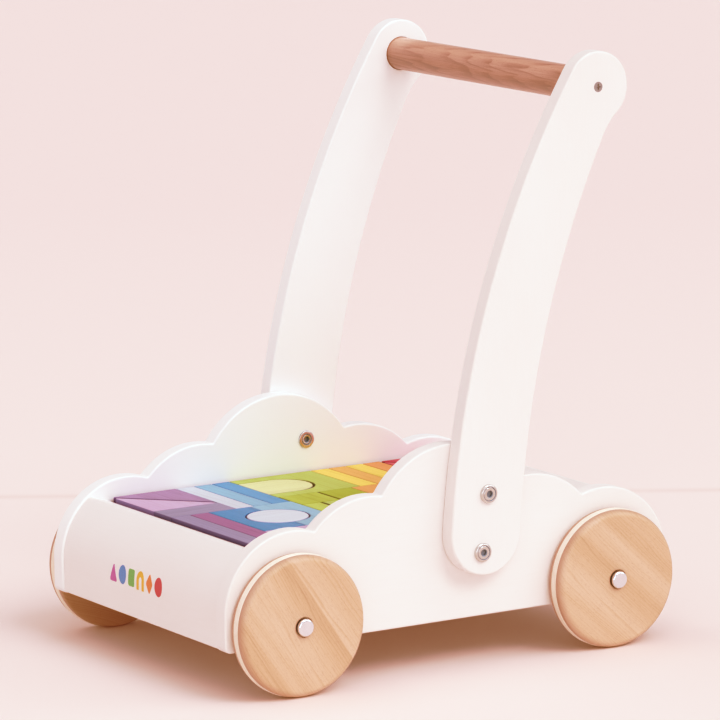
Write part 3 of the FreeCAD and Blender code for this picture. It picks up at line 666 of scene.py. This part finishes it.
PRINTS = (("triangle", (204, 92, 166)), ("round", (84, 140, 204)), ("square", (126, 182, 92)),
          ("arch", (238, 184, 60)), ("diamond", (236, 130, 66)), ("round", (212, 62, 74)))
PRINT_STEP, PRINT_SHIFT = 14.0, -4.5
PRINT_W, PRINT_H, PRINT_T, PRINT_Z = 11.4, 15.0, 0.08, 70.5
for index, (kind, colour) in enumerate(PRINTS):
    across = (index - (len(PRINTS) - 1) / 2) * PRINT_STEP + PRINT_SHIFT
    printed_shape(f"print_{index + 1}_{kind}", kind, across,
                  printed(f"ink_{index + 1}", shown(colour)))


# ---- stage ------------------------------------------------------------------------------

FLOOR_REACH = 40.0                # metres from the middle to each edge
AWAY = Vector((-0.842, 0.539, 0))   # roughly the level direction that the camera looks in
FOLD_AT, FOLD_W = 560.0, 28.0     # the backdrop's fold: distance behind the object, width of its painted shade
FADE_L = 1800.0                   # the floor darkens over this length behind the fold


def stage_floor():
    """Wide pale floor, with painted shade in a faint line where the backdrop paper folds behind
    the object.
    """
    mesh = bpy.data.meshes.new("stage_floor")
    reach = FLOOR_REACH
    mesh.from_pydata([(-reach, -reach, 0), (reach, -reach, 0), (reach, reach, 0),
                      (-reach, reach, 0)], [], [(0, 1, 2, 3)])
    graph = Graph("stage_floor")
    at = graph.place(AWAY, Z.cross(AWAY))
    distance = graph.vector("DOT_PRODUCT", at, (1, 0, 0))
    fibre = graph.noise(at, (0.05, 0.05, 0.05), 4.0)
    behind = graph.math("SUBTRACT", distance, FOLD_AT)
    beyond = graph.math("DIVIDE", behind, FADE_L, clamp=True)
    # Painted shade in a soft line along the backdrop's fold; the fold itself is not modelled.
    fold_shade = graph.math("MULTIPLY_ADD", graph.math("ABSOLUTE", behind), -2 / FOLD_W, 1.0,
                      clamp=True)
    colour = graph.mix(beyond, linear((243, 229, 226)), linear((238, 222, 220)))
    colour = graph.mix(graph.math("MULTIPLY", fold_shade, 0.5), colour, linear((226, 208, 202)))
    colour = graph.mix(graph.math("MULTIPLY", fibre, 0.04), colour, linear((250, 246, 244)))
    graph.set(Base_Color=colour, Roughness=0.9, Specular_IOR_Level=0.1)
    mesh.materials.append(graph.material)
    floor = bpy.data.objects.new("stage_floor", mesh)
    bpy.context.scene.collection.objects.link(floor)


def soft_light(name, source, spread_deg, power):
    """Even studio light from one side; a wide spread softens its shadows."""
    data = bpy.data.lights.new(name, "SUN")
    data.angle = math.radians(spread_deg)
    data.energy = power
    light = bpy.data.objects.new(name, data)
    light.rotation_euler = (-Vector(source).normalized()).to_track_quat("-Z", "Y").to_euler()
    bpy.context.scene.collection.objects.link(light)


# Each light's name, the direction it comes from, its spread in degrees and its strength.
LIGHTS = (("key", (0.90, 0.20, 0.95), 28, 0.97), ("near", (0.85, -0.55, 0.35), 60, 0.95),
          ("overhead", (0.0, 0.0, 1.0), 70, 1.00), ("left", (-0.55, -0.75, 0.75), 60, 0.58),
          ("rear", (0.6, 0.8, 0.6), 40, 0.80))

SURROUNDINGS = ((1.0, 0.98, 0.97, 1), 0.15)   # colour and strength of the even light
MIRRORED = 0.88                               # strength of the room that gloss reflects

# The room that gloss reflects, at rising heights: pale walls, a dark gap, a wide soft box. It is
# brighter than the surroundings, so that the small metal parts come out bright.
ROOM = ((0.0, (0.94, 0.96, 1.00, 1)), (0.20, (0.98, 0.99, 1.00, 1)),
        (0.32, (0.17, 0.17, 0.23, 1)), (0.84, (0.12, 0.12, 0.17, 1)),
        (0.92, (1.00, 1.00, 1.00, 1)), (1.0, (1.00, 1.00, 1.00, 1)))


def studio_world():
    """Dim even surroundings, and a brighter room that every glossy surface reflects."""
    world = bpy.data.worlds.new("studio")
    world.use_nodes = True
    tree = world.node_tree
    tree.nodes.clear()
    output = tree.nodes.new("ShaderNodeOutputWorld")
    mixer = tree.nodes.new("ShaderNodeMixShader")
    path = tree.nodes.new("ShaderNodeLightPath")
    backgrounds = []
    for slot, (colour, strength) in ((1, SURROUNDINGS), (2, ((1, 1, 1, 1), MIRRORED))):
        background = tree.nodes.new("ShaderNodeBackground")
        background.inputs["Color"].default_value = colour
        background.inputs["Strength"].default_value = strength
        tree.links.new(background.outputs[0], mixer.inputs[slot])
        backgrounds.append(background)
    where = tree.nodes.new("ShaderNodeTexCoord")
    axes = tree.nodes.new("ShaderNodeSeparateXYZ")
    room = tree.nodes.new("ShaderNodeValToRGB")
    room.color_ramp.elements.remove(room.color_ramp.elements[1])
    room.color_ramp.elements[0].color = ROOM[0][1]
    for height, colour in ROOM[1:]:
        room.color_ramp.elements.new(height).color = colour
    tree.links.new(where.outputs["Generated"], axes.inputs[0])
    tree.links.new(axes.outputs["Z"], room.inputs[0])
    tree.links.new(room.outputs[0], backgrounds[1].inputs["Color"])
    tree.links.new(path.outputs["Is Glossy Ray"], mixer.inputs[0])
    tree.links.new(mixer.outputs[0], output.inputs["Surface"])
    bpy.context.scene.world = world


CAMERA_AT = (3.32321, -2.06006, 0.91841)
CAMERA_TURN = (58.1648, -10.0966, -0.7206)    # yaw, pitch and roll in degrees
CAMERA_LENS, SENSOR_W = 252.5, 36.0           # millimetres


def camera():
    """Long-lens camera from the front right, a little above the walker."""
    yaw, pitch, roll = (math.radians(angle) for angle in CAMERA_TURN)
    ahead = Vector((-math.sin(yaw) * math.cos(pitch), math.cos(yaw) * math.cos(pitch),
                    math.sin(pitch)))
    right = Vector((math.cos(yaw), math.sin(yaw), 0))
    up = right.cross(ahead)
    side = math.cos(roll) * right + math.sin(roll) * up
    top = -math.sin(roll) * right + math.cos(roll) * up
    data = bpy.data.cameras.new("camera")
    data.sensor_width = SENSOR_W
    data.lens = CAMERA_LENS
    data.clip_end = 100.0
    view = bpy.data.objects.new("camera", data)
    view.matrix_world = (Matrix.Translation(CAMERA_AT)
                         @ Matrix((side, top, -ahead)).transposed().to_4x4())
    bpy.context.scene.collection.objects.link(view)
    bpy.context.scene.camera = view


def set_curve(curve, stops):
    """Passes one channel's display curve through its stops."""
    curve.points[0].location = (0.0, 0.0)
    curve.points[-1].location = stops[-1]
    for stop in stops[:-1]:
        curve.points.new(*stop)


stage_floor()
studio_world()
for light in LIGHTS:
    soft_light(*light)
camera()
settings = bpy.context.scene.view_settings
settings.view_transform = "Standard"
settings.look = "None"
settings.use_curve_mapping = True
for channel, stops in enumerate(CURVES):
    set_curve(settings.curve_mapping.curves[channel], stops)
settings.curve_mapping.update()
